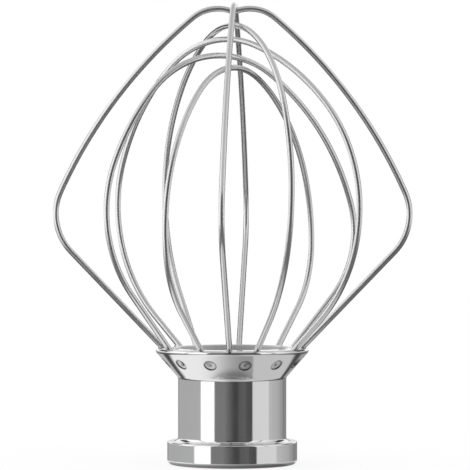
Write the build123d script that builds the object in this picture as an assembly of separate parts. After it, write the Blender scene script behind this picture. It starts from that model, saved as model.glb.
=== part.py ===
from build123d import *
import os
from dataclasses import dataclass, replace
from math import asin, atan2, cos, radians, sin, sqrt, tan

# Wire whisk of a stand mixer: a turned hub with six bent wires, standing on its hub.
# Millimetres, +Z up. The origin is the centre of the hub's base, on the axis of the shaft socket.

# Hub, one turned piece: a base flange, a neck and a flare that carries the wires
base_diameter = 41.3
base_height = 7.4
base_bottom_round = 1.6
base_top_round = 0.6
neck_diameter = 34.4
neck_height = 20.2
neck_root_round = 1.3
flare_height = 9.5
flare_angle = 41.0
flare_root_round = 1.5
rim_round = 1.0
dish_lip = 3.4
dish_depth = 5.0
dish_angle = 43.0
dish_edge_round = 0.5
dish_floor_round = 1.5

# Shaft socket: a blind bore from below, a keyway for the shaft's cross pin and a bayonet turn
shaft_diameter = 12.7
shaft_clearance = 0.05
socket_roof = 6.1
socket_chamfer = 0.6
pin_diameter = 4.2
pin_reach = 9.2
pin_clearance = 0.2
bayonet_height = 14.0
bayonet_turn = 40.0

# Wires and their seats: round wire pressed into drilled holes on a ring of the rim
wire_count = 6
wire_diameter = 1.9
seat_clearance = 0.05
seat_depth = 9.0
ring_inset = 3.25
crossing_gap = 0.05
saddle_radius = 4.0

# Stake marks: punched into the flare between the wire holes, so that the metal grips the wires
stake_diameter = 4.2
stake_depth = 0.35
stake_point_diameter = 1.5
stake_point_depth = 0.4


@dataclass(frozen=True)
class Loop:
    """One bent wire, drawn in its own upright plane as two halves of tangent arcs and straight legs."""

    turn: float  # angle of its plane around the axis
    apex: float  # height of the wire's centre line at its top
    reach: float  # half of its width, at the centre line
    belly_height: float  # height at which it is widest
    crown_radius: float
    belly_ease: float  # how much tighter the belly is than the widest arc that meets crown and ring
    flank_ease: float  # how much wider the flank is than the least circle round crown and belly
    shift: float = 0.0  # how far its plane stands beside the axis
    lean: float = 0.0  # how far its crown stands to one side
    skew: float = 0.0  # how much higher that side is widest than the mean of both
    dip: float = 0.0  # depth of the saddle in which a crossing wire lies


leg_pitch = 180 / wire_count

outer_lower = Loop(
    turn=0,
    apex=143.8,
    reach=56.3,
    belly_height=79.5,
    crown_radius=12.6,
    belly_ease=26.1,
    flank_ease=109.7,
    lean=0.5,
    dip=0.8,
)
outer_upper = replace(
    outer_lower,
    turn=3 * leg_pitch,
    apex=outer_lower.apex + wire_diameter + crossing_gap,
    shift=-0.7,
    lean=0.0,
    dip=0.0,
)
inner_1 = Loop(
    turn=4 * leg_pitch,
    apex=139.2,
    reach=45.7,
    belly_height=85.3,
    crown_radius=39.8,
    belly_ease=3.3,
    flank_ease=8.2,
    shift=2.2,
    lean=-3.9,
)
inner_2 = Loop(
    turn=5 * leg_pitch,
    apex=135.0,
    reach=46.3,
    belly_height=81.6,
    crown_radius=31.3,
    belly_ease=3.5,
    flank_ease=17.6,
    shift=-2.3,
    lean=3.9,
)
inner_3 = Loop(
    turn=1 * leg_pitch,
    apex=129.7,
    reach=43.7,
    belly_height=77.2,
    crown_radius=30.4,
    belly_ease=9.9,
    flank_ease=30.9,
    lean=-4.2,
    skew=-3.4,
)
inner_4 = Loop(
    turn=2 * leg_pitch,
    apex=125.8,
    reach=41.4,
    belly_height=70.6,
    crown_radius=29.1,
    belly_ease=6.7,
    flank_ease=14.1,
    shift=-3.2,
    lean=-3.3,
    skew=-1.1,
)
loops = {
    "outer_wire_lower": outer_lower,
    "outer_wire_upper": outer_upper,
    "inner_wire_1": inner_1,
    "inner_wire_2": inner_2,
    "inner_wire_3": inner_3,
    "inner_wire_4": inner_4,
}

# Heights and radii that follow from the sizes above
base_radius = base_diameter / 2
neck_radius = neck_diameter / 2
neck_top = base_height + neck_height
hub_top = neck_top + flare_height
flare_slope = tan(radians(flare_angle))
rim_corner_radius = neck_radius + flare_height * flare_slope
ring_radius = rim_corner_radius - ring_inset
dish_radius = ring_radius - dish_lip
dish_floor = hub_top - dish_depth
dish_floor_radius = dish_radius - dish_depth * tan(radians(dish_angle))
socket_depth = dish_floor - socket_roof
socket_radius = shaft_diameter / 2 + shaft_clearance
keyway_width = pin_diameter + 2 * pin_clearance
keyway_radius = pin_reach + pin_clearance
bayonet_top = bayonet_height + keyway_width
wire_radius = wire_diameter / 2
seat_radius = wire_radius + seat_clearance
ring = Vector(ring_radius, hub_top)
upward = (Align.CENTER, Align.CENTER, Align.MIN)
from_axis = (Align.NONE, Align.NONE, Align.MIN)


def crown_of(loop: Loop, side: int) -> Vector:
    """Centre of the crown's arc on one side, which stands off by what the saddle and the lean need."""
    kink = saddle_radius + loop.crown_radius
    offset = sqrt(kink**2 - (kink - loop.dip) ** 2)
    return Vector(offset + side * loop.lean, loop.apex + loop.dip - loop.crown_radius)


def widest_arc(end: Vector, centre: Vector, radius: float = 0.0) -> float:
    """Radius of the arc with its widest point at end that just meets a circle or a point inside it."""
    across = end.X - centre.X
    rise = end.Y - centre.Y
    return (across**2 + rise**2 - radius**2) / (2 * (across - radius))


def belly_of(loop: Loop, side: int) -> tuple[Vector, float]:
    """Centre and radius of the belly's arc."""
    end = Vector(loop.reach, loop.belly_height + side * loop.skew)
    at_crown = widest_arc(end, crown_of(loop, side), loop.crown_radius)
    radius = min(at_crown, widest_arc(end, ring)) - loop.belly_ease
    return end - Vector(radius, 0), radius


def leg_of(loop: Loop, side: int) -> tuple[Vector, Vector]:
    """Direction and upper end of a leg, which runs from the ring on the rim, tangent to the belly."""
    belly, radius = belly_of(loop, side)
    span = belly - ring
    heading = atan2(span.Y, span.X) - asin(radius / span.length)
    direction = Vector(cos(heading), sin(heading))
    return direction, ring + direction * sqrt(span.length**2 - radius**2)


def half_path(loop: Loop, side: int) -> list[Edge]:
    """Centre line of one half, from the apex to the end of its leg, drawn to the right of the axis."""
    crown = crown_of(loop, side)
    belly, belly_radius = belly_of(loop, side)

    # The flank's circle lies round the crown's and the belly's and touches both
    span = belly - crown
    flank_radius = (span.length + loop.crown_radius + belly_radius) / 2 + loop.flank_ease
    to_crown = flank_radius - loop.crown_radius
    to_belly = flank_radius - belly_radius
    along = (to_crown**2 - to_belly**2 + span.length**2) / (2 * span.length)
    aside = sqrt(to_crown**2 - along**2)
    line = span.normalized()
    flank = crown + line * along + Vector(line.Y, -line.X) * aside

    crown_end = flank + (crown - flank).normalized() * flank_radius
    flank_end = flank + (belly - flank).normalized() * flank_radius
    direction, leg_top = leg_of(loop, side)
    edges = []
    start, heading = Vector(side * loop.lean, loop.apex), Vector(1, 0)
    if loop.dip > 0:
        saddle = start + Vector(0, saddle_radius)
        saddle_end = saddle + (crown - saddle).normalized() * saddle_radius
        edges.append(TangentArc(start, saddle_end, tangent=heading))
        start, heading = saddle_end, edges[-1] % 1
    edges.append(TangentArc(start, crown_end, tangent=heading))
    edges.append(TangentArc(crown_end, flank_end, tangent=edges[-1] % 1))
    edges.append(TangentArc(flank_end, leg_top, tangent=edges[-1] % 1))
    edges.append(Line(leg_top, ring - direction * seat_depth))
    return [Plane.XZ * edge for edge in edges]


def place(loop: Loop) -> Location:
    """Turns the plane of a loop around the axis and moves it aside by the loop's shift."""
    return Rot(0, 0, loop.turn) * Pos(0, loop.shift, 0)


def make_wire(loop: Loop) -> Part:
    """Round wire along both halves of the loop, with its two ends at the bottoms of their holes."""
    path = Wire(half_path(loop, 1) + [edge.mirror(Plane.YZ) for edge in half_path(loop, -1)])
    section = Plane(origin=path @ 0, z_dir=path % 0) * Circle(wire_radius)
    return place(loop) * sweep(section, path=path)


def wire_seat(loop: Loop, side: int) -> Part:
    """Drilled hole of a loop, along its leg on one side."""
    direction, _ = leg_of(loop, side)
    bottom = ring - direction * seat_depth
    floor = Plane(origin=(side * bottom.X, 0, bottom.Y), z_dir=(side * direction.X, 0, direction.Y))
    drill = floor * Cylinder(seat_radius, seat_depth + 2 * wire_diameter, align=upward)
    return place(loop) * drill


def stake_marks() -> list[Part]:
    """Punch marks on the flare: a shallow round recess with a pointed centre, midway between the holes."""
    punch = Cylinder(stake_diameter / 2, 2 * stake_depth)
    tip = Rot(180, 0, 0) * Cone(stake_point_diameter / 2, 0, stake_point_depth, align=upward)
    tilt = radians(flare_angle)
    seat = Plane(
        origin=((neck_radius + rim_corner_radius) / 2, 0, neck_top + flare_height / 2),
        x_dir=(0, 1, 0),
        z_dir=(cos(tilt), 0, -sin(tilt)),
    )
    mark = seat * (punch + Pos(0, 0, -stake_depth) * tip)
    return [Rot(0, 0, leg_pitch * (i + 0.5)) * mark for i in range(2 * wire_count)]


def pin_way(bottom: float, top: float) -> Part:
    """Room for the cross pin on one side of the shaft, between two heights."""
    way = Box(keyway_radius, keyway_width, top - bottom, align=(Align.MIN, Align.CENTER, Align.MIN))
    way &= Cylinder(keyway_radius, top - bottom, align=upward)
    return Pos(0, 0, bottom) * way


def shaft_socket() -> Part:
    """Bore for the mixer's shaft, with the keyway and the bayonet turn for its cross pin."""
    bore = Cylinder(socket_radius, socket_depth, align=upward)
    mouth = Cone(socket_radius + socket_chamfer, socket_radius, socket_chamfer, align=upward)
    keyway = pin_way(0, bayonet_top)
    sweep_angle = Cylinder(keyway_radius, keyway_width, arc_size=bayonet_turn, align=from_axis)
    stop = Rot(0, 0, bayonet_turn) * pin_way(bayonet_height, bayonet_top)
    return bore + mouth + keyway + Pos(0, 0, bayonet_height) * sweep_angle + stop


def make_hub() -> Part:
    """Turned body with its dish, less the socket, the wire seats and the stake marks."""
    outline = FilletPolyline(
        (0, 0),
        (base_radius, 0),
        (base_radius, base_height),
        (neck_radius, base_height),
        (neck_radius, neck_top),
        (rim_corner_radius, hub_top),
        (dish_radius, hub_top),
        (dish_floor_radius, dish_floor),
        (0, dish_floor),
        radius=(
            0,
            base_bottom_round,
            base_top_round,
            neck_root_round,
            flare_root_round,
            rim_round,
            dish_edge_round,
            dish_floor_round,
            0,
        ),
        close=True,
    )
    body = revolve(Plane.XZ * make_face(outline), axis=Axis.Z)
    body -= shaft_socket()
    body -= [wire_seat(loop, side) for loop in loops.values() for side in (1, -1)]
    return body - stake_marks()


os.makedirs("parts", exist_ok=True)
nodes = {"hub": make_hub()}
nodes.update({name: make_wire(loop) for name, loop in loops.items()})
for name, solid in nodes.items():
    export_step(solid, f"parts/{name}.step")
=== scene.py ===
import logging
import math
from dataclasses import dataclass, replace
from enum import Enum
from functools import cached_property
from typing import Optional, Union

import bmesh
import bpy
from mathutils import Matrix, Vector


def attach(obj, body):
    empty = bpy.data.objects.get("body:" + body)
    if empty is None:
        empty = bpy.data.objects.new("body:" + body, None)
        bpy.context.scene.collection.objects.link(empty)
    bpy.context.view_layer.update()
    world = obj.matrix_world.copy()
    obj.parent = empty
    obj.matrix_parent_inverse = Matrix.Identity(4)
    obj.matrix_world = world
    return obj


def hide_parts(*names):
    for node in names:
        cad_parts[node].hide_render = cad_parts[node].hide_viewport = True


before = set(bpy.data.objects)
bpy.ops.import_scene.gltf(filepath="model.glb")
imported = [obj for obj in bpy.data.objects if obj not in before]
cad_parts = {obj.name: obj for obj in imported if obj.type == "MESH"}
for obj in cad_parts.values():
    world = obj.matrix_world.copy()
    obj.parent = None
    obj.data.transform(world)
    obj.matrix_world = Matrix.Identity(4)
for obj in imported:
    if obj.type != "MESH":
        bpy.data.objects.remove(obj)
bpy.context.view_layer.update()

MM = 0.001
WELD = MM / 1000  # points closer than this are one point
BODY = "root"
ORIGIN = (0.0, 0.0, 0.0)
UP = (0.0, 0.0, 1.0)
ACROSS = (0.0, 1.0, 0.0)
WHITE = (1.0, 1.0, 1.0)
SOFT = "SMOOTHSTEP"
NOISE_RANGE = (0.3, 0.7)  # where most values of a noise lie
LOOKS_DOWN = -0.9  # a face whose normal is lower than this looks down
FEWEST_STEPS = 3  # of a spun bend

Piece = bpy.types.Object
Finish = bpy.types.Material
Socket = bpy.types.NodeSocket
Value = Union[Socket, float]
Colour = tuple[float, float, float]
Range = tuple[float, float]

log = logging.getLogger("whisk")


class Slot(Enum):
    """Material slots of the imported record."""

    HUB_METAL = "hub_metal"
    WIRE_STEEL = "wire_steel"


class Side(Enum):
    """The two halves of a wire loop, seen in its own plane."""

    RIGHT = 1
    LEFT = -1


def in_space(point: Vector) -> Vector:
    """Puts a point of a drawing (across, up), in millimetres, into the XZ plane of the scene."""
    return Vector((point.x, 0.0, point.y)) * MM


def only(piece: Piece) -> None:
    """Makes a piece the one selected and active object.

    Args:
        piece: object to work on.
    """
    bpy.ops.object.select_all(action="DESELECT")
    piece.select_set(True)
    bpy.context.view_layer.objects.active = piece


def settle(piece: Piece) -> None:
    """Writes a piece's place, turn and scale into its mesh."""
    only(piece)
    bpy.ops.object.transform_apply(location=True, rotation=True, scale=True)


def begin_edit() -> None:
    """Opens the active piece for editing with all of it selected."""
    bpy.ops.object.mode_set(mode="EDIT")
    bpy.ops.mesh.select_mode(type="VERT")
    bpy.ops.mesh.select_all(action="SELECT")


def begin_edit_below(piece: Piece) -> None:
    """Opens a piece for editing with the faces that look down selected.

    Args:
        piece: the active object.
    """
    bpy.ops.object.mode_set(mode="EDIT")
    bpy.ops.mesh.select_mode(type="FACE")
    bpy.ops.mesh.select_all(action="DESELECT")
    shape = bmesh.from_edit_mesh(piece.data)
    for face in shape.faces:
        face.select_set(face.normal.z < LOOKS_DOWN)
    bmesh.update_edit_mesh(piece.data)


def pull(step: Vector) -> None:
    """Extrudes what is selected by a step in metres."""
    bpy.ops.mesh.extrude_region_move(TRANSFORM_OT_translate={"value": step})


def end_edit() -> None:
    """Merges doubled points, turns the faces outwards and closes the editing."""
    bpy.ops.mesh.select_all(action="SELECT")
    bpy.ops.mesh.remove_doubles(threshold=WELD)
    bpy.ops.mesh.normals_make_consistent(inside=False)
    bpy.ops.object.mode_set(mode="OBJECT")


def add_cylinder(facets: int, radius: float, low: float, high: float, turn: float = 0.0) -> Piece:
    """Adds a closed upright cylinder about the axis.

    Args:
        facets: number of faces round it.
        radius: radius in millimetres, as are the heights.
        low: height of its bottom.
        high: height of its top.
        turn: angle about the axis in degrees.

    Returns:
        The cylinder, with its place in its mesh.
    """
    bpy.ops.object.select_all(action="DESELECT")
    bpy.ops.mesh.primitive_cylinder_add(
        vertices=facets,
        radius=radius * MM,
        depth=(high - low) * MM,
        location=(0.0, 0.0, (high + low) / 2 * MM),
        rotation=(0.0, 0.0, math.radians(turn)),
    )
    piece = bpy.context.object
    settle(piece)
    return piece


def cut(piece: Piece, cutter: Piece) -> None:
    """Cuts one mesh out of another and throws the cutter away.

    Args:
        piece: object that loses material.
        cutter: closed mesh of what is removed.
    """
    only(piece)
    removal = piece.modifiers.new("cut", "BOOLEAN")
    removal.operation = "DIFFERENCE"
    removal.solver = "EXACT"
    removal.object = cutter
    bpy.ops.object.modifier_apply(modifier=removal.name)
    bpy.data.objects.remove(cutter)


class NodeBoard:
    """A node tree with short calls that add nodes and join them."""

    def __init__(self, owner: Union[Finish, bpy.types.World]) -> None:
        """Takes the tree of a material or of the world and empties it.

        Args:
            owner: material or world.
        """
        owner.use_nodes = True
        self.tree = owner.node_tree
        self.tree.nodes.clear()

    def add(self, kind: str, inputs: Optional[dict] = None, **settings: object) -> bpy.types.Node:
        """Adds a node.

        Args:
            kind: type of the shader node.
            inputs: values by the name or number of an input: a socket to join, a number or a colour.
            settings: properties of the node.

        Returns:
            The new node.
        """
        node = self.tree.nodes.new("ShaderNode" + kind)
        for name, value in settings.items():
            setattr(node, name, value)
        for key, value in (inputs or {}).items():
            if isinstance(value, Socket):
                self.tree.links.new(value, node.inputs[key])
            else:
                node.inputs[key].default_value = (*value, 1.0) if isinstance(value, tuple) else value
        return node

    def make(self, kind: str, inputs: dict, **settings: object) -> Socket:
        """Adds a node and hands out its first output."""
        return self.add(kind, inputs, **settings).outputs[0]

    def math(self, operation: str, *values: Value) -> Socket:
        """Adds a Math node on sockets or numbers."""
        return self.make("Math", dict(enumerate(values)), operation=operation)

    def distance(self, first: Socket, second: Socket) -> Socket:
        """Adds the length of a step with two legs at a right angle."""
        squared = self.math("MULTIPLY", first, first)
        return self.math("SQRT", self.math("MULTIPLY_ADD", second, second, squared))

    def remap(
        self, value: Socket, low: float, high: float, at_low: float, at_high: float, shape: str = "LINEAR"
    ) -> Socket:
        """Adds a Map Range node.

        Args:
            value: socket to read.
            low: value at which the range starts.
            high: value at which it ends.
            at_low: result at the start.
            at_high: result at the end.
            shape: interpolation between the two.

        Returns:
            The socket with the result.
        """
        inputs = {"Value": value, "From Min": low, "From Max": high, "To Min": at_low, "To Max": at_high}
        return self.make("MapRange", inputs, interpolation_type=shape, clamp=True)

    def fade(self, place: Socket, low: float, high: float, at_low: float, at_high: float) -> Socket:
        """Adds an even change between two places in millimetres."""
        return self.remap(place, low * MM, high * MM, at_low, at_high)

    def ease(self, place: Socket, low: float, high: float, at_low: float, at_high: float) -> Socket:
        """Adds a soft change between two places in millimetres."""
        return self.remap(place, low * MM, high * MM, at_low, at_high, SOFT)

    def band(self, value: Socket, middle: float, inner: float, outer: float) -> Socket:
        """Adds a band that is 1 up to the inner distance from its middle and fades to 0 at the outer one."""
        off = self.math("ABSOLUTE", self.math("SUBTRACT", value, middle))
        return self.remap(off, inner, outer, 1.0, 0.0, SOFT)

    def mix(self, share: Socket, first: Value, second: Value) -> Socket:
        """Adds a Mix node for two numbers, with the share of the second."""
        return self.make("Mix", {"Factor": share, "A": first, "B": second}, data_type="FLOAT")

    def tint(self, share: Socket, first: Union[Socket, Colour], second: Colour) -> Socket:
        """Adds a Mix node for two colours, with the share of the second."""
        return self.add("Mix", {"Factor": share, 6: first, 7: second}, data_type="RGBA").outputs[2]

    def noise(self, place: Socket, scale: float, detail: float, **settings: object) -> Socket:
        """Adds the value of a noise at a place."""
        return self.make("TexNoise", {"Vector": place, "Scale": scale, "Detail": detail}, **settings)

    def metal(
        self, colour: Union[Socket, Colour], roughness: Socket, relief: Socket, strength: float, depth: float
    ) -> Socket:
        """Adds a metal surface with a fine relief.

        Args:
            colour: its base colour.
            roughness: its roughness.
            relief: socket with the height of the relief, from 0 to 1.
            strength: strength of the relief.
            depth: depth of the relief in millimetres.

        Returns:
            The shader's socket.
        """
        bump = self.make("Bump", {"Strength": strength, "Distance": depth * MM, "Height": relief})
        inputs = {"Base Color": colour, "Metallic": 1.0, "Roughness": roughness, "Normal": bump}
        return self.make("BsdfPrincipled", inputs)

    def glow(self, strength: Socket) -> Socket:
        """Adds a white light of its own."""
        return self.make("Emission", {"Strength": strength})

    def either(self, share: Socket, first: Socket, second: Socket) -> Socket:
        """Adds a mix of two shaders, with the share of the second."""
        return self.make("MixShader", {0: share, 1: first, 2: second})


def new_finish(name: str) -> tuple[Finish, NodeBoard]:
    """Makes a material without nodes and the board on which they are laid out."""
    made = bpy.data.materials.new(name)
    return made, NodeBoard(made)


@dataclass(frozen=True)
class Spot:
    """Sockets with the place of a point on a surface, in metres from the middle of the hub's base."""

    board: NodeBoard
    place: Socket
    right: Socket
    back: Socket
    up: Socket

    @classmethod
    def read(cls, board: NodeBoard, facing: float = 0.0, kind: str = "Object") -> "Spot":
        """Adds the nodes that read the place.

        Args:
            board: nodes of the material.
            facing: azimuth of the lens in degrees, to which the place is turned.
            kind: texture coordinate that is read.

        Returns:
            The new spot.
        """
        place = board.add("TexCoord").outputs[kind]
        if facing:
            turn = {"Vector": place, "Angle": -math.radians(facing)}
            place = board.make("VectorRotate", turn, rotation_type="Z_AXIS")
        return cls(board, place, *board.add("SeparateXYZ", {"Vector": place}).outputs)

    @cached_property
    def radius(self) -> Socket:
        """Distance from the axis."""
        return self.board.distance(self.right, self.back)

    @cached_property
    def angle(self) -> Socket:
        """Angle round the axis, from the lens to the right."""
        return self.board.math("ARCTAN2", self.right, self.board.math("MULTIPLY", self.back, -1.0))


@dataclass(frozen=True)
class TurnedMetal:
    """Polished metal of the hub, with the faint rings that a lathe and the polishing wheel leave."""

    name: str = "turned_polished_metal"
    colour: Colour = (0.8, 0.8, 0.81)
    smoothest: float = 0.05
    roughest: float = 0.11
    haze_scale: float = 90.0
    haze_detail: float = 4.0
    ring_scale: float = 2600.0  # rings per metre of the noise
    ring_detail: float = 3.0
    ring_depth: float = 0.003  # millimetres
    ring_strength: float = 0.12
    punched: Colour = (0.28, 0.28, 0.29)  # colour in the stake marks
    punched_roughness: float = 0.3
    mark_blur: float = 0.1  # millimetres to both sides of a mark's edge
    mark_rim: Range = (0.7, 0.3)  # millimetres inside the edge, where the rim's darker colour starts and is full
    mark_inner_share: float = 0.45  # share of the darker colour between the rim and the point
    skin: float = 1.0  # millimetres inside the neck's radius, where the marks end
    dish_tone: Colour = (0.46, 0.46, 0.47)  # darker colour in the dish
    dish_blur: float = 0.6  # millimetres inside the dish's edge
    dish_below: Range = (1.0, 0.5)  # millimetres under the dish's floor
    face_roughness: float = 0.28  # of the flange's top and the dish, which are turned but not polished
    face_height: Range = (0.05, 0.15)  # millimetres off the flange's top
    face_blur: float = 0.2  # millimetres to both sides of the neck's root

    def material(self, hub: "Hub") -> Finish:
        """Builds the material.

        Args:
            hub: hub whose marks and faces differ in finish.

        Returns:
            A procedural material on Object coordinates.
        """
        made, board = new_finish(self.name)
        spot = Spot.read(board)
        lathe = board.make("CombineXYZ", {"X": spot.radius, "Y": spot.up})
        rings = board.noise(lathe, self.ring_scale, self.ring_detail, noise_dimensions="2D")
        haze = board.noise(spot.place, self.haze_scale, self.haze_detail)
        marks = self.marks(spot, hub)
        dish = self.dish(spot, hub)
        faces = board.math("ADD", dish, self.flange_face(spot, hub))
        rough = board.remap(haze, *NOISE_RANGE, self.smoothest, self.roughest)
        rough = board.mix(faces, rough, self.face_roughness)
        rough = board.mix(marks, rough, self.punched_roughness)
        # the dish and the stake marks take darker colours than the rest of the hub
        colour = board.tint(marks, board.tint(dish, self.colour, self.dish_tone), self.punched)
        metal = board.metal(colour, rough, rings, self.ring_strength, self.ring_depth)
        board.add("OutputMaterial", {"Surface": metal})
        return made

    def marks(self, spot: Spot, hub: "Hub") -> Socket:
        """Adds the mask of the stake marks.

        Args:
            spot: place on the hub.
            hub: hub that has the marks.

        Returns:
            The socket with 0 outside the marks, and up to 1 on the rim and the point of each.
        """
        board = spot.board
        pitch = math.tau / hub.stakes
        angle = board.math("ARCTAN2", spot.back, spot.right)
        turn = board.math("SUBTRACT", board.math("WRAP", angle, pitch, 0.0), pitch / 2)
        steep = 1.0 / math.cos(math.radians(hub.flare_angle))
        along = board.math("MULTIPLY_ADD", spot.up, steep, -hub.stake_height * steep * MM)
        off = board.distance(board.math("MULTIPLY", turn, spot.radius), along)
        edge = hub.stake_diameter / 2
        point = hub.stake_point_diameter / 2
        start, full = self.mark_rim
        inside = board.fade(off, edge - self.mark_blur, edge + self.mark_blur, 1.0, 0.0)
        rim = board.fade(off, edge - start, edge - full, self.mark_inner_share, 1.0)
        middle = board.fade(off, point / 2, point, 1.0, self.mark_inner_share)
        # the marks take the darker colour fully on their rim and point, and partly between them
        darkened = board.math("MULTIPLY", inside, board.math("MAXIMUM", rim, middle))
        neck = hub.neck_diameter / 2
        return board.math("MULTIPLY", darkened, board.fade(spot.radius, neck - self.skin, neck, 0.0, 1.0))

    def dish(self, spot: Spot, hub: "Hub") -> Socket:
        """Adds the mask of the dish.

        Args:
            spot: place on the hub.
            hub: hub that has the dish.

        Returns:
            The socket with 1 in the dish and 0 elsewhere.
        """
        edge = hub.ring.x - hub.dish_lip
        within = spot.board.fade(spot.radius, edge - self.dish_blur, edge, 1.0, 0.0)
        start, full = self.dish_below
        above = spot.board.fade(spot.up, hub.dish_floor - start, hub.dish_floor - full, 0.0, 1.0)
        return spot.board.math("MULTIPLY", within, above)

    def flange_face(self, spot: Spot, hub: "Hub") -> Socket:
        """Adds the mask of the flange's top, between the neck's root and the edge.

        Args:
            spot: place on the hub.
            hub: hub that has the flange.

        Returns:
            The socket with 1 on the face and 0 elsewhere.
        """
        board = spot.board
        off = board.math("ABSOLUTE", board.math("SUBTRACT", spot.up, hub.base_height * MM))
        level = board.fade(off, *self.face_height, 1.0, 0.0)
        root = hub.neck_diameter / 2 + hub.neck_root_round
        outside = board.fade(spot.radius, root - self.face_blur, root + self.face_blur, 0.0, 1.0)
        return board.math("MULTIPLY", level, outside)


@dataclass(frozen=True)
class DrawnSteel:
    """Bright drawn steel wire, with fine pits and a haze from the drawing die."""

    name: str = "bright_drawn_steel"
    colour: Colour = (0.75, 0.75, 0.76)
    smoothest: float = 0.2
    roughest: float = 0.3
    haze_scale: float = 140.0
    haze_detail: float = 3.0
    grain_scale: float = 1500.0
    grain_detail: float = 2.0
    grain_strength: float = 0.1
    grain_depth: float = 0.004  # millimetres

    def material(self) -> Finish:
        """Builds the material.

        Returns:
            A procedural material on Object coordinates.
        """
        made, board = new_finish(self.name)
        place = board.add("TexCoord").outputs["Object"]
        grain = board.noise(place, self.grain_scale, self.grain_detail)
        haze = board.noise(place, self.haze_scale, self.haze_detail)
        rough = board.remap(haze, *NOISE_RANGE, self.smoothest, self.roughest)
        metal = board.metal(self.colour, rough, grain, self.grain_strength, self.grain_depth)
        board.add("OutputMaterial", {"Surface": metal})
        return made


@dataclass(frozen=True)
class WhiteBoard:
    """Glossy white board under the whisk: white to the lens, with a part of the shadow, and lit near the hub."""

    name: str = "glossy_white_board"
    shadow_share: float = 0.2
    gloss: Range = (0.72, 0.9)  # slant from which the board mirrors, and where it mirrors fully
    gloss_roughness: float = 0.05
    lit_left: float = 1.0  # brightness in the metal, beside the hub
    shaded: float = 0.36
    lit_right: float = 0.64
    in_front: float = 0.5
    left_edge: float = -30.0  # millimetres to the right of the axis
    shade_start: float = 9.0
    shade_end: float = 17.5
    shade_blur: float = 0.8
    shade_front: float = 31.0  # millimetres from the axis
    front_blur: float = 4.0
    contact: Range = (20.5, 24.0)
    contact_light: float = 0.35  # share of the light that is left under the hub's edge
    shadow_start: float = 127.5  # degrees from the shadow's middle line, to both sides
    shadow_turn: float = 3.0  # degrees from the lens to that line
    shadow_soft: float = 6.0
    shadow_depth: float = 0.85
    strip_left: float = 0.55  # brightness of the strips that light up the board behind
    strip_right: float = 0.36
    strip_aside: float = 49.0  # millimetres from the axis to the middle of a strip
    strip_edge: Range = (9.0, 18.0)  # millimetres from that middle
    strip_start: Range = (46.0, 72.0)  # millimetres behind the axis
    lit_front: float = 26.0  # millimetres from the axis to the middle of the lit part
    lit_squeeze: float = 1.25  # length of the lit part by its width
    lit_end: Range = (77.0, 90.0)  # millimetres from the middle of the lit part
    far_front: float = 0.17  # brightness beyond the lit part
    far_behind: float = 0.08
    far_turn: Range = (0.0, 40.0)  # millimetres behind the axis
    far_left: float = 0.65
    far_left_edge: Range = (145.0, 175.0)  # millimetres to the left of the axis
    far_left_end: Range = (110.0, 150.0)  # millimetres behind the axis

    def material(self, ambient: float, facing: float) -> Finish:
        """Builds the material.

        Args:
            ambient: brightness of the world for the board.
            facing: azimuth of the lens in degrees.

        Returns:
            A material that is white to the camera where nothing shades it.
        """
        made, board = new_finish(self.name)
        made.cycles.emission_sampling = "NONE"
        path = board.add("LightPath").outputs
        tone = self.shadow_share / ambient
        matt = board.make("BsdfDiffuse", {"Color": (tone, tone, tone)})
        white = board.glow(board.math("MULTIPLY", path["Is Camera Ray"], 1.0 - self.shadow_share))
        seen = board.make("AddShader", {0: matt, 1: white})
        surface = board.either(path["Is Glossy Ray"], seen, self.mirrored(Spot.read(board, facing)))
        board.add("OutputMaterial", {"Surface": surface})
        return made

    def mirrored(self, spot: Spot) -> Socket:
        """Adds the board as the metal sees it: lit near the hub, shaded against it and behind, dim further out.

        Args:
            spot: place on the board, turned to the lens.

        Returns:
            The shader's socket.
        """
        board = spot.board
        left = board.ease(spot.right, self.left_edge, self.shade_start, self.lit_left, self.shaded)
        edge, blur = self.shade_end, self.shade_blur
        step = board.fade(spot.right, edge - blur, edge + blur, 0.0, self.lit_right - self.shaded)
        edge, blur = self.shade_front, self.front_blur
        front = board.ease(spot.radius, edge - blur, edge + blur, 0.0, self.in_front)
        level = board.math("MAXIMUM", board.math("ADD", left, step), front)
        under = board.ease(spot.radius, *self.contact, self.contact_light, 1.0)
        level = board.math("MULTIPLY", board.math("MULTIPLY", level, under), self.shadow(spot))
        across = board.math("MULTIPLY", spot.right, self.lit_squeeze)
        reach = board.distance(across, board.math("ADD", spot.back, self.lit_front * MM))
        away = board.ease(reach, *self.lit_end, 0.0, 1.0)
        level = board.mix(away, level, self.far_away(spot))
        level = board.math("MAXIMUM", level, self.strips(spot))
        shine = board.make("BsdfGlossy", {"Color": WHITE, "Roughness": self.gloss_roughness})
        slant = board.add("LayerWeight").outputs["Facing"]
        return board.either(board.remap(slant, *self.gloss, 0.0, 1.0, SOFT), board.glow(level), shine)

    def shadow(self, spot: Spot) -> Socket:
        """Adds the hub's shadow on the board, which falls to the back.

        Args:
            spot: place on the board, turned to the lens.

        Returns:
            The socket with the light that is left.
        """
        start, soft = math.radians(self.shadow_start), math.radians(self.shadow_soft)
        lit = spot.board.band(spot.angle, math.radians(self.shadow_turn), start - soft, start + soft)
        return spot.board.math("MULTIPLY_ADD", lit, self.shadow_depth, 1.0 - self.shadow_depth)

    def strips(self, spot: Spot) -> Socket:
        """Adds the light that falls past the hub on both sides and lies on the board behind it.

        Args:
            spot: place on the board, turned to the lens.

        Returns:
            The socket with the brightness of the strips.
        """
        board = spot.board
        inner, outer = self.strip_edge
        across = board.band(board.math("ABSOLUTE", spot.right), self.strip_aside * MM, inner * MM, outer * MM)
        along = board.ease(spot.back, *self.strip_start, 0.0, 1.0)
        level = board.fade(spot.right, -inner, inner, self.strip_left, self.strip_right)
        return board.math("MULTIPLY", level, board.math("MULTIPLY", across, along))

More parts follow.
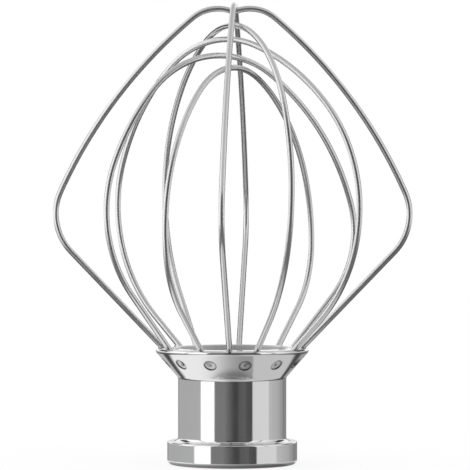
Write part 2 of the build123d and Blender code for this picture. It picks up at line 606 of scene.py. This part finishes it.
    def far_away(self, spot: Spot) -> Socket:
        """Adds the board beyond the lit part: dim in front, darker behind, and lit again under the left panel.

        Args:
            spot: place on the board, turned to the lens.

        Returns:
            The socket with the brightness there.
        """
        board = spot.board
        dim = board.ease(spot.back, *self.far_turn, self.far_front, self.far_behind)
        near, full = self.far_left_edge
        under = board.ease(spot.right, -near, -full, 0.0, self.far_left)
        kept = board.ease(spot.back, *self.far_left_end, 1.0, 0.0)
        return board.math("MAXIMUM", dim, board.math("MULTIPLY", under, kept))


@dataclass(frozen=True)
class Corner:
    """One corner of the hub's outline, with the radius that rounds it."""

    radius: float
    height: float
    rounding: float = 0.0

    def point(self) -> Vector:
        """The corner as a point of the drawing."""
        return Vector((self.radius, self.height))


@dataclass(frozen=True)
class Hub:
    """The turned hub: base flange, neck, flare with the wire holes and stake marks, dish and shaft socket."""

    base_diameter: float = 41.3
    base_height: float = 7.4
    base_bottom_round: float = 1.6
    base_top_round: float = 0.6
    neck_diameter: float = 34.4
    neck_height: float = 20.2
    neck_root_round: float = 1.3
    flare_height: float = 9.5
    flare_angle: float = 41.0
    flare_root_round: float = 1.5
    rim_round: float = 1.0
    dish_lip: float = 3.4
    dish_depth: float = 5.0
    dish_angle: float = 43.0
    dish_edge_round: float = 0.5
    dish_floor_round: float = 1.5
    ring_inset: float = 3.25
    seat_diameter: float = 2.0
    seat_depth: float = 9.0
    seat_facets: int = 32
    socket_diameter: float = 12.8
    socket_roof: float = 6.1
    socket_chamfer: float = 0.6
    socket_facets: int = 96
    keyway_width: float = 4.6
    keyway_radius: float = 9.4
    keyway_facets: int = 160
    bayonet_height: float = 14.0
    bayonet_turn: float = 40.0
    bayonet_play: float = 0.02
    stake_diameter: float = 4.2
    stake_depth: float = 0.35
    stake_point_diameter: float = 1.5
    stake_point_depth: float = 0.4
    stake_facets: int = 40
    stakes: int = 12
    facets: int = 240
    cutter_turn: float = 0.4  # degrees, so that no point of a cutter falls on an edge of the blank
    round_step: float = 9.0  # degrees of a rounding per face
    sharp_angle: float = 32.0
    face_weight: int = 100  # of the large faces in the even shading

    @property
    def neck_top(self) -> float:
        """Height at which the flare starts."""
        return self.base_height + self.neck_height

    @property
    def top(self) -> float:
        """Height of the rim."""
        return self.neck_top + self.flare_height

    @property
    def rim_corner(self) -> float:
        """Radius at which the flare would meet the rim's plane without its rounding."""
        return self.neck_diameter / 2 + self.flare_height * math.tan(math.radians(self.flare_angle))

    @property
    def stake_height(self) -> float:
        """Height of the stake marks' middle."""
        return self.neck_top + self.flare_height / 2

    @property
    def ring(self) -> Vector:
        """Point of the drawing at which a wire leaves the rim."""
        return Vector((self.rim_corner - self.ring_inset, self.top))

    @property
    def dish_floor(self) -> float:
        """Height of the dish's floor."""
        return self.top - self.dish_depth

    def outline(self) -> list[Corner]:
        """Corners of the turned outline.

        Returns:
            The corners, from the axis below to the axis in the dish.
        """
        base, neck = self.base_diameter / 2, self.neck_diameter / 2
        dish_radius = self.ring.x - self.dish_lip
        floor_radius = dish_radius - self.dish_depth * math.tan(math.radians(self.dish_angle))
        return [
            Corner(0.0, 0.0),
            Corner(base, 0.0, self.base_bottom_round),
            Corner(base, self.base_height, self.base_top_round),
            Corner(neck, self.base_height, self.neck_root_round),
            Corner(neck, self.neck_top, self.flare_root_round),
            Corner(self.rim_corner, self.top, self.rim_round),
            Corner(dish_radius, self.top, self.dish_edge_round),
            Corner(floor_radius, self.dish_floor, self.dish_floor_round),
            Corner(0.0, self.dish_floor),
        ]

    def draw_outline(self) -> None:
        """Draws the outline from one point, in runs and spun roundings, in the piece open for editing."""
        corners = self.outline()
        pen = corners[0].point()
        for before, corner, after in zip(corners, corners[1:], corners[2:]):
            arrive = (corner.point() - before.point()).normalized()
            leave = (after.point() - corner.point()).normalized()
            bend = math.atan2(arrive.cross(leave), arrive.dot(leave))
            setback = corner.rounding * math.tan(abs(bend) / 2)
            start = corner.point() - arrive * setback
            pull(in_space(start - pen))
            inward = Vector((-arrive.y, arrive.x)) * math.copysign(corner.rounding, bend)
            bpy.ops.mesh.spin(
                steps=max(FEWEST_STEPS, round(math.degrees(abs(bend)) / self.round_step)),
                angle=bend,
                center=in_space(start + inward),
                axis=ACROSS,
            )
            pen = corner.point() + leave * setback
        pull(in_space(corners[-1].point() - pen))

    def blank(self) -> Piece:
        """Turns the outline into the solid blank of the hub.

        Returns:
            The new object, without holes and marks.
        """
        bpy.ops.object.select_all(action="DESELECT")
        bpy.ops.mesh.primitive_circle_add(vertices=3, radius=MM, location=ORIGIN)
        piece = bpy.context.object
        piece.name = "hub_turned"
        begin_edit()
        bpy.ops.mesh.merge(type="CENTER")
        self.draw_outline()
        bpy.ops.mesh.select_all(action="SELECT")
        bpy.ops.mesh.spin(steps=self.facets, angle=math.tau, center=ORIGIN, axis=UP, use_auto_merge=True)
        end_edit()
        return piece

    def bore_cutter(self) -> Piece:
        """Cutter for the blind bore, which widens into the chamfer at its mouth.

        Returns:
            A closed cutter.
        """
        mouth, roof = self.socket_chamfer, self.dish_floor - self.socket_roof
        bore = add_cylinder(self.socket_facets, self.socket_diameter / 2, mouth, roof, self.cutter_turn)
        begin_edit_below(bore)
        pull(Vector((0.0, 0.0, -2 * mouth * MM)))
        wider = 1.0 + 4 * mouth / self.socket_diameter
        bpy.ops.transform.resize(value=(wider, wider, 1.0), center_override=ORIGIN)
        bpy.ops.object.mode_set(mode="OBJECT")
        return bore

    def pin_room(self, bottom: float, top: float, turn: float, play: float = 0.0) -> Piece:
        """Cutter for the room of the cross pin between two heights, from its way in to the end of its turn.

        Args:
            bottom: lower height in millimetres.
            top: upper height.
            turn: angle through which the pin turns, in degrees.
            play: room added round the pin's way.

        Returns:
            A closed cutter with a round outer wall.
        """
        room = add_cylinder(self.keyway_facets, self.keyway_radius + play, bottom, top, self.cutter_turn)
        half = (self.keyway_width / 2 + play) * MM
        last, middle = math.radians(turn), math.radians(turn / 2)
        stop = Vector((-math.sin(last), math.cos(last), 0.0))
        entry = Vector((0.0, -1.0, 0.0))
        behind = Vector((-math.cos(middle), -math.sin(middle), 0.0))
        begin_edit()
        for normal, off in ((entry, half), (stop, half), (behind, 0.0)):
            bpy.ops.mesh.select_all(action="SELECT")
            bpy.ops.mesh.bisect(plane_co=normal * off, plane_no=normal, use_fill=True, clear_outer=True)
        end_edit()
        return room

    def socket_cutters(self) -> list[Piece]:
        """Makes the cutters of the shaft socket.

        Returns:
            The bore, the room of the bayonet turn, and the keyway that leads into it.
        """
        floor, roof = self.bayonet_height, self.bayonet_height + self.keyway_width
        return [
            self.bore_cutter(),
            self.pin_room(floor, roof, self.bayonet_turn, self.bayonet_play),
            self.pin_room(-self.socket_chamfer, (floor + roof) / 2, 0.0),
        ]

    def stake_cutter(self) -> Piece:
        """Cutter for all stake marks: one pointed punch, modelled once and copied round the flare.

        Returns:
            The cutter, with one closed shell per mark.
        """
        punch = add_cylinder(self.stake_facets, self.stake_diameter / 2, -self.stake_depth, self.stake_depth)
        begin_edit_below(punch)
        bpy.ops.mesh.inset(thickness=(self.stake_diameter - self.stake_point_diameter) / 2 * MM)
        pull(Vector((0.0, 0.0, -self.stake_point_depth * MM)))
        bpy.ops.mesh.merge(type="CENTER")
        bpy.ops.object.mode_set(mode="OBJECT")
        middle = (self.neck_diameter / 2 + self.rim_corner) / 2
        punch.rotation_euler.y = math.radians(90.0 + self.flare_angle)
        punch.location = Vector((middle, 0.0, self.stake_height)) * MM
        settle(punch)
        pitch = math.tau / self.stakes
        punch.rotation_euler.z = pitch / 2
        settle(punch)
        begin_edit()
        others = self.stakes - 1
        bpy.ops.mesh.spin(steps=others, angle=pitch * others, dupli=True, center=ORIGIN, axis=UP)
        end_edit()
        return punch

    def seat_cutter(self, loop: "WireLoop", side: Side) -> Piece:
        """Cutter for the drilled hole of one leg.

        Args:
            loop: wire that sits in the hole.
            side: which of its legs.

        Returns:
            A closed cutter along the leg.
        """
        direction, _ = loop.leg(self, side)
        drill = add_cylinder(self.seat_facets, self.seat_diameter / 2, -self.seat_depth, 2 * self.seat_diameter)
        drill.rotation_euler.y = math.atan2(side.value * direction.x, direction.y)
        drill.location = in_space(Vector((side.value * self.ring.x, self.ring.y)))
        settle(drill)
        loop.stand(drill)
        return drill

    def build(self, loops: list["WireLoop"], finish: Finish) -> Piece:
        """Makes the finished hub.

        Args:
            loops: wires that the rim holds.
            finish: material of the hub.

        Returns:
            The hub, which stands for the CAD node.
        """
        piece = self.blank()
        for cutter in self.socket_cutters():
            cut(piece, cutter)
        cut(piece, self.stake_cutter())
        for loop in loops:
            for side in Side:
                cut(piece, self.seat_cutter(loop, side))
        only(piece)
        begin_edit()
        bpy.ops.mesh.dissolve_degenerate(threshold=WELD)
        end_edit()
        self.dress(piece, finish)
        return piece

    def dress(self, piece: Piece, finish: Finish) -> None:
        """Smooths the shading between the rounded edges and gives the hub its finish.

        Args:
            piece: the hub's object.
            finish: its material.
        """
        only(piece)
        bpy.ops.object.shade_smooth_by_angle(angle=math.radians(self.sharp_angle))
        even = piece.modifiers.new("even_shading", "WEIGHTED_NORMAL")
        even.mode = "FACE_AREA"
        even.weight = self.face_weight
        even.keep_sharp = True
        bpy.ops.object.modifier_apply(modifier=even.name)
        piece.data.materials.clear()
        piece.data.materials.append(finish)
        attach(piece, BODY)
        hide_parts("hub")


@dataclass(frozen=True)
class Bend:
    """An arc of a wire's centre line, in the plane of its loop."""

    centre: Vector
    start: Vector
    end: Vector
    clockwise: bool = False

    def angle(self) -> float:
        """Works out the turn of the arc.

        Returns:
            The signed angle from the start to the end, counterclockwise.
        """
        first = self.start - self.centre
        last = self.end - self.centre
        turn = math.atan2(first.cross(last), first.dot(last)) % math.tau
        return turn - math.tau if self.clockwise else turn

    def length(self) -> float:
        """Length of the arc in millimetres."""
        return abs(self.angle()) * (self.start - self.centre).length


@dataclass(frozen=True)
class WireLoop:
    """One bent wire: two straight legs and a row of tangent bends, in an upright plane of its own."""

    node: str
    turn: float
    apex: float
    reach: float
    belly_height: float
    crown_radius: float
    belly_ease: float
    flank_ease: float
    shift: float = 0.0
    lean: float = 0.0
    skew: float = 0.0
    dip: float = 0.0
    diameter: float = 1.9
    saddle_radius: float = 4.0
    sides: int = 24
    step: float = 1.4  # millimetres of centre line per ring of faces
    sharp_angle: float = 50.0

    def crown(self, side: Side) -> Vector:
        """Works out the crown's arc on one side.

        Args:
            side: which half.

        Returns:
            The centre of the arc.
        """
        kink = self.saddle_radius + self.crown_radius
        offset = math.sqrt(kink**2 - (kink - self.dip) ** 2)
        return Vector((offset + side.value * self.lean, self.apex + self.dip - self.crown_radius))

    @staticmethod
    def widest_arc(end: Vector, centre: Vector, radius: float = 0.0) -> float:
        """Radius of the arc that is widest at a point and just meets a circle or a point inside it.

        Args:
            end: widest point of the arc.
            centre: centre of the circle, or the point.
            radius: radius of the circle.

        Returns:
            The radius in millimetres.
        """
        across, rise = end - centre
        return (across**2 + rise**2 - radius**2) / (2 * (across - radius))

    def belly(self, hub: Hub, side: Side) -> tuple[Vector, float]:
        """Works out the belly's arc on one side.

        Args:
            hub: hub that holds the wire.
            side: which half.

        Returns:
            The centre and the radius of the arc.
        """
        end = Vector((self.reach, self.belly_height + side.value * self.skew))
        at_crown = self.widest_arc(end, self.crown(side), self.crown_radius)
        radius = min(at_crown, self.widest_arc(end, hub.ring)) - self.belly_ease
        return end - Vector((radius, 0.0)), radius

    def leg(self, hub: Hub, side: Side) -> tuple[Vector, Vector]:
        """Works out the straight leg on one side.

        Args:
            hub: hub that holds the wire.
            side: which half.

        Returns:
            The leg's direction and the point at which it runs into the belly.
        """
        belly, radius = self.belly(hub, side)
        span = belly - hub.ring
        heading = math.atan2(span.y, span.x) - math.asin(radius / span.length)
        direction = Vector((math.cos(heading), math.sin(heading)))
        return direction, hub.ring + direction * math.sqrt(span.length**2 - radius**2)

    def half(self, hub: Hub, side: Side) -> list[Bend]:
        """Bends of one half, from its leg to the apex, drawn to the right of the axis.

        Args:
            hub: hub that holds the wire.
            side: which half.

        Returns:
            The bends in order.
        """
        crown = self.crown(side)
        belly, belly_radius = self.belly(hub, side)
        span = belly - crown
        flank_radius = (span.length + self.crown_radius + belly_radius) / 2 + self.flank_ease
        to_crown = flank_radius - self.crown_radius
        to_belly = flank_radius - belly_radius
        along = (to_crown**2 - to_belly**2 + span.length_squared) / (2 * span.length)
        aside = math.sqrt(to_crown**2 - along**2)
        line = span.normalized()
        flank = crown + line * along + Vector((line.y, -line.x)) * aside
        crown_end = flank + (crown - flank).normalized() * flank_radius
        flank_end = flank + (belly - flank).normalized() * flank_radius
        _, leg_top = self.leg(hub, side)
        apex = Vector((side.value * self.lean, self.apex))
        bends = [Bend(belly, leg_top, flank_end), Bend(flank, flank_end, crown_end)]
        if self.dip > 0.0:
            saddle = apex + Vector((0.0, self.saddle_radius))
            saddle_end = saddle + (crown - saddle).normalized() * self.saddle_radius
            bends.append(Bend(crown, crown_end, saddle_end))
            bends.append(Bend(saddle, saddle_end, apex, clockwise=True))
        else:
            bends.append(Bend(crown, crown_end, apex))
        return bends

    def bends(self, hub: Hub) -> list[Bend]:
        """All bends of the wire.

        Args:
            hub: hub that holds the wire.

        Returns:
            The bends, from the right leg over the apex to the left leg.
        """
        flip = Vector((-1.0, 1.0))
        left = [
            Bend(bend.centre * flip, bend.end * flip, bend.start * flip, bend.clockwise)
            for bend in reversed(self.half(hub, Side.LEFT))
        ]
        return self.half(hub, Side.RIGHT) + left

    def build(self, hub: Hub, finish: Finish) -> Piece:
        """Bends the wire: a ring of points is pulled along the legs and spun through the bends.

        Args:
            hub: hub that holds the wire.
            finish: material of the wire.

        Returns:
            The wire, which stands for its CAD node.
        """
        rise, right_top = self.leg(hub, Side.RIGHT)
        fall, left_top = self.leg(hub, Side.LEFT)
        foot = hub.ring - rise * hub.seat_depth
        bpy.ops.object.select_all(action="DESELECT")
        bpy.ops.mesh.primitive_circle_add(
            vertices=self.sides,
            radius=self.diameter / 2 * MM,
            fill_type="NOTHING",
            location=in_space(foot),
            rotation=(0.0, math.atan2(rise.x, rise.y), 0.0),
        )
        piece = bpy.context.object
        piece.name = self.node + "_bent"
        settle(piece)
        begin_edit()
        pull(in_space(right_top - foot))
        for bend in self.bends(hub):
            bpy.ops.mesh.spin(
                steps=max(FEWEST_STEPS, math.ceil(bend.length() / self.step)),
                angle=bend.angle(),
                center=in_space(bend.centre),
                axis=ACROSS,
            )
        end = hub.ring - fall * hub.seat_depth
        pull(in_space(Vector((left_top.x - end.x, end.y - left_top.y))))
        bpy.ops.mesh.select_all(action="SELECT")
        bpy.ops.mesh.fill_holes(sides=self.sides)
        end_edit()
        self.stand(piece)
        self.dress(piece, finish)
        return piece

    def stand(self, piece: Piece) -> None:
        """Turns a piece made in the drawing plane into the plane of the loop.

        Args:
            piece: object in the XZ plane.
        """
        turn = math.radians(self.turn)
        piece.rotation_euler.z = turn
        piece.location = Vector((-math.sin(turn), math.cos(turn), 0.0)) * (self.shift * MM)
        settle(piece)

    def dress(self, piece: Piece, finish: Finish) -> None:
        """Gives the wire its shading and finish and hands it to the frame.

        Args:
            piece: the wire's object.
            finish: its material.
        """
        only(piece)
        bpy.ops.object.shade_smooth_by_angle(angle=math.radians(self.sharp_angle))
        piece.data.materials.clear()
        piece.data.materials.append(finish)
        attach(piece, BODY)
        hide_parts(self.node)


@dataclass(frozen=True)
class Cage:
    """The six wires of the whisk, two outer ones that cross at the top and four inner ones below them."""

    wire_count: int = 6
    crossing_gap: float = 0.05

    def loops(self) -> list[WireLoop]:
        """Draws up the wires.

        Returns:
            The wires in the order of their height, the lower outer wire first.
        """
        pitch = 180.0 / self.wire_count
        # node, turn, apex, reach, belly_height, crown_radius, belly_ease, flank_ease
        lower = WireLoop("outer_wire_lower", 0.0, 143.8, 56.3, 79.5, 12.6, 26.1, 109.7, lean=0.5, dip=0.8)
        upper = replace(
            lower,
            node="outer_wire_upper",
            turn=3 * pitch,
            apex=lower.apex + lower.diameter + self.crossing_gap,
            shift=-0.7,
            lean=0.0,
            dip=0.0,
        )
        return [
            lower,
            upper,
            WireLoop("inner_wire_1", 4 * pitch, 139.2, 45.7, 85.3, 39.8, 3.3, 8.2, shift=2.2, lean=-3.9),
            WireLoop("inner_wire_2", 5 * pitch, 135.0, 46.3, 81.6, 31.3, 3.5, 17.6, shift=-2.3, lean=3.9),
            WireLoop("inner_wire_3", 1 * pitch, 129.7, 43.7, 77.2, 30.4, 9.9, 30.9, lean=-4.2, skew=-3.4),
            WireLoop(
                "inner_wire_4", 2 * pitch, 125.8, 41.4, 70.6, 29.1, 6.7, 14.1, shift=-3.2, lean=-3.3, skew=-1.1
            ),
        ]


@dataclass(frozen=True)
class Panel:
    """One upright strip of the light tent."""

    start: float  # degrees round the whisk, from the lens, to the right
    first: float  # brightness at its start
    last: float  # brightness at its end


@dataclass(frozen=True)
class LightTent:
    """Round tent of lit cloth about the whisk, open to the dark room in front. Only the metal sees it."""

    name: str = "tent_cloth"
    radius: float = 300.0
    height: float = 330.0
    facets: int = 128
    blur: float = 1.5  # degrees over which one strip runs into the next
    low: tuple[Panel, ...] = (
        Panel(-180.0, 0.33, 0.35),
        Panel(-151.0, 0.46, 0.49),
        Panel(-68.5, 1.35, 1.35),
        Panel(-37.2, 0.22, 0.22),
        Panel(-15.0, 0.2, 0.08),
        Panel(3.0, 0.065, 0.065),
        Panel(12.6, 0.11, 0.13),
        Panel(28.0, 0.1, 0.07),
        Panel(42.6, 0.78, 0.79),
        Panel(82.5, 0.58, 0.46),
        Panel(119.0, 0.4, 0.35),
        Panel(134.0, 0.25, 0.3),
    )
    high: tuple[Panel, ...] = (
        Panel(-180.0, 1.05, 1.05),
        Panel(-145.0, 0.95, 0.95),
        Panel(-114.0, 1.3, 1.3),
        Panel(-74.0, 0.6, 0.6),
        Panel(-68.0, 1.3, 1.2),
        Panel(-38.0, 0.22, 0.22),
        Panel(-12.0, 0.07, 0.07),
        Panel(13.0, 0.11, 0.11),
        Panel(42.0, 1.05, 1.05),
        Panel(60.0, 0.4, 0.4),
        Panel(67.0, 1.0, 0.85),
        Panel(95.0, 0.7, 0.7),
        Panel(145.0, 1.05, 1.05),
    )
    step: Range = (30.0, 45.0)  # millimetres, where the upper row of strips takes over
    flags: Range = (112.0, 150.0)  # degrees to both sides, where a black flag hangs in the tent
    flag_heights: Range = (85.0, 240.0)
    flag_full: Range = (0.7, 0.8)  # shares of its width and height within which a flag is black
    flag: float = 0.02

    def places(self, panels: tuple[Panel, ...]) -> list[tuple[float, float]]:
        """Places of a row of strips on a ramp round the whisk, with the soft edges between them.

        Args:
            panels: the row's strips.

        Returns:
            The ramp's stops, each with its place and brightness.
        """
        places: list[tuple[float, float]] = []
        ends = [panel.start for panel in panels[1:]] + [180.0]
        for panel, end in zip(panels, ends):
            places.append(((panel.start + self.blur / 2 + 180.0) / 360.0, panel.first))
            places.append(((end - self.blur / 2 + 180.0) / 360.0, panel.last))
        return places

    def material(self, facing: float) -> Finish:
        """Builds the material of the cloth.

        Args:
            facing: azimuth of the lens in degrees.

        Returns:
            A material that glows strip by strip.
        """
        made, board = new_finish(self.name)
        made.cycles.emission_sampling = "NONE"
        spot = Spot.read(board, facing)
        above = board.ease(spot.up, *self.step, 0.0, 1.0)
        level = board.mix(above, self.row(spot, self.low), self.row(spot, self.high))
        level = board.mix(self.flagged(spot), level, self.flag)
        board.add("OutputMaterial", {"Surface": board.glow(level)})
        return made

    def flagged(self, spot: Spot) -> Socket:
        """Adds the mask of the two black flags.

        Args:
            spot: place on the cloth, turned to the lens.

        Returns:
            The socket with 1 on a flag and 0 elsewhere.
        """
        board = spot.board
        start, end = math.radians(self.flags[0]), math.radians(self.flags[1])
        low, high = self.flag_heights[0] * MM, self.flag_heights[1] * MM
        half, reach = (end - start) / 2, (high - low) / 2
        aside = board.math("ABSOLUTE", spot.angle)
        across = board.band(aside, (start + end) / 2, self.flag_full[0] * half, half)
        along = board.band(spot.up, (low + high) / 2, self.flag_full[1] * reach, reach)
        return board.math("MULTIPLY", across, along)

    def row(self, spot: Spot, panels: tuple[Panel, ...]) -> Socket:
        """Adds the ramp with a row of strips.

        Args:
            spot: place on the cloth, turned to the lens.
            panels: the row's strips.

        Returns:
            The socket with the brightness.
        """
        around = spot.board.math("MULTIPLY_ADD", spot.angle, 1.0 / math.tau, 0.5)
        ramp = spot.board.add("ValToRGB", {"Fac": around})
        stops = ramp.color_ramp.elements
        places = self.places(panels)
        stops[0].position, stops[1].position = places[0][0], places[-1][0]
        for place, _ in places[1:-1]:
            stops.new(place)
        for stop, (_, level) in zip(stops, places):
            stop.color = (level, level, level, 1.0)
        return ramp.outputs["Color"]

    def build(self, facing: float) -> None:
        """Puts up the tent, which is no part of the whisk.

        Args:
            facing: azimuth of the lens in degrees.
        """
        bpy.ops.object.select_all(action="DESELECT")
        bpy.ops.mesh.primitive_cylinder_add(
            vertices=self.facets,
            radius=self.radius * MM,
            depth=self.height * MM,
            end_fill_type="NOTHING",
            location=(0.0, 0.0, self.height / 2 * MM),
        )
        tent = bpy.context.object
        tent.name = "light_tent"
        settle(tent)
        tent.data.materials.append(self.material(facing))
        tent.visible_camera = False
        tent.visible_diffuse = False
        tent.visible_transmission = False
        tent.visible_shadow = False


@dataclass(frozen=True)
class Studio:
    """White studio: camera, floor and the light about the whisk."""

    lens_azimuth: float = 4.0
    lens_distance: float = 1250.0
    lens_height: float = 100.6
    aim_aside: float = 0.889
    aim_height: float = 72.8
    focal_length: float = 301.6
    sensor_width: float = 36.0
    nearest: float = 0.01  # metres
    floor_radius: float = 2.0  # metres
    floor_facets: int = 128
    ambient: float = 0.9
    ceiling: float = 0.72  # brightness of the light above the tent
    ceiling_left: float = 1.1
    ceiling_right: float = 1.05
    ceiling_turn: Range = (0.25, 0.7)  # how far to a side its own brightness starts and is full

    def camera(self) -> None:
        """Places the camera at the photograph's viewing angle."""
        turn = math.radians(self.lens_azimuth)
        away = Vector((math.sin(turn), -math.cos(turn), 0.0))
        aside = Vector((math.cos(turn), math.sin(turn), 0.0))
        place = away * self.lens_distance + Vector((0.0, 0.0, self.lens_height))
        aim = aside * self.aim_aside + Vector((0.0, 0.0, self.aim_height))
        lens = bpy.data.cameras.new("lens")
        lens.lens = self.focal_length
        lens.sensor_width = self.sensor_width
        lens.clip_start = self.nearest
        camera = bpy.data.objects.new("camera", lens)
        bpy.context.scene.collection.objects.link(camera)
        camera.location = place * MM
        camera.rotation_euler = (aim - place).to_track_quat("-Z", "Y").to_euler()
        bpy.context.scene.camera = camera

    def floor(self, finish: WhiteBoard) -> None:
        """Lays the board on which the whisk stands.

        Args:
            finish: finish of the board.
        """
        bpy.ops.object.select_all(action="DESELECT")
        bpy.ops.mesh.primitive_circle_add(
            vertices=self.floor_facets, radius=self.floor_radius, fill_type="NGON", location=ORIGIN
        )
        floor = bpy.context.object
        floor.name = "white_floor"
        floor.data.materials.append(finish.material(self.ambient, self.lens_azimuth))

    def world(self) -> None:
        """Fills the room with even light: white to the camera, the ceiling to the metal."""
        world = bpy.data.worlds.new("studio")
        bpy.context.scene.world = world
        world.cycles.sampling_method = "NONE"
        board = NodeBoard(world)
        path = board.add("LightPath").outputs
        even = board.make("Background", {"Color": (self.ambient, self.ambient, self.ambient)})
        right = Spot.read(board, self.lens_azimuth, "Generated").right
        start, full = self.ceiling_turn
        to_left = board.remap(right, -start, -full, self.ceiling, self.ceiling_left, SOFT)
        to_right = board.remap(right, start, full, self.ceiling, self.ceiling_right, SOFT)
        above = board.make("Background", {"Strength": board.math("MAXIMUM", to_left, to_right)})
        white = board.make("Background", {"Color": WHITE})
        for_metal = board.either(path["Is Glossy Ray"], even, above)
        board.add("OutputWorld", {"Surface": board.either(path["Is Camera Ray"], for_metal, white)})


def main() -> None:
    """Builds the whisk's pieces and the studio around them."""
    logging.basicConfig(level=logging.INFO, format="%(message)s")
    bpy.context.scene.view_settings.view_transform = "Standard"
    studio = Studio()
    studio.camera()
    studio.world()
    studio.floor(WhiteBoard())
    LightTent().build(studio.lens_azimuth)
    loops = Cage().loops()
    hub = Hub()
    steel = DrawnSteel().material()
    for loop in loops:
        piece = loop.build(hub, steel)
        log.info("%s: %d faces", piece.name, len(piece.data.polygons))
    piece = hub.build(loops, TurnedMetal().material(hub))
    log.info("%s: %d faces", piece.name, len(piece.data.polygons))


if __name__ == "__main__":
    main()
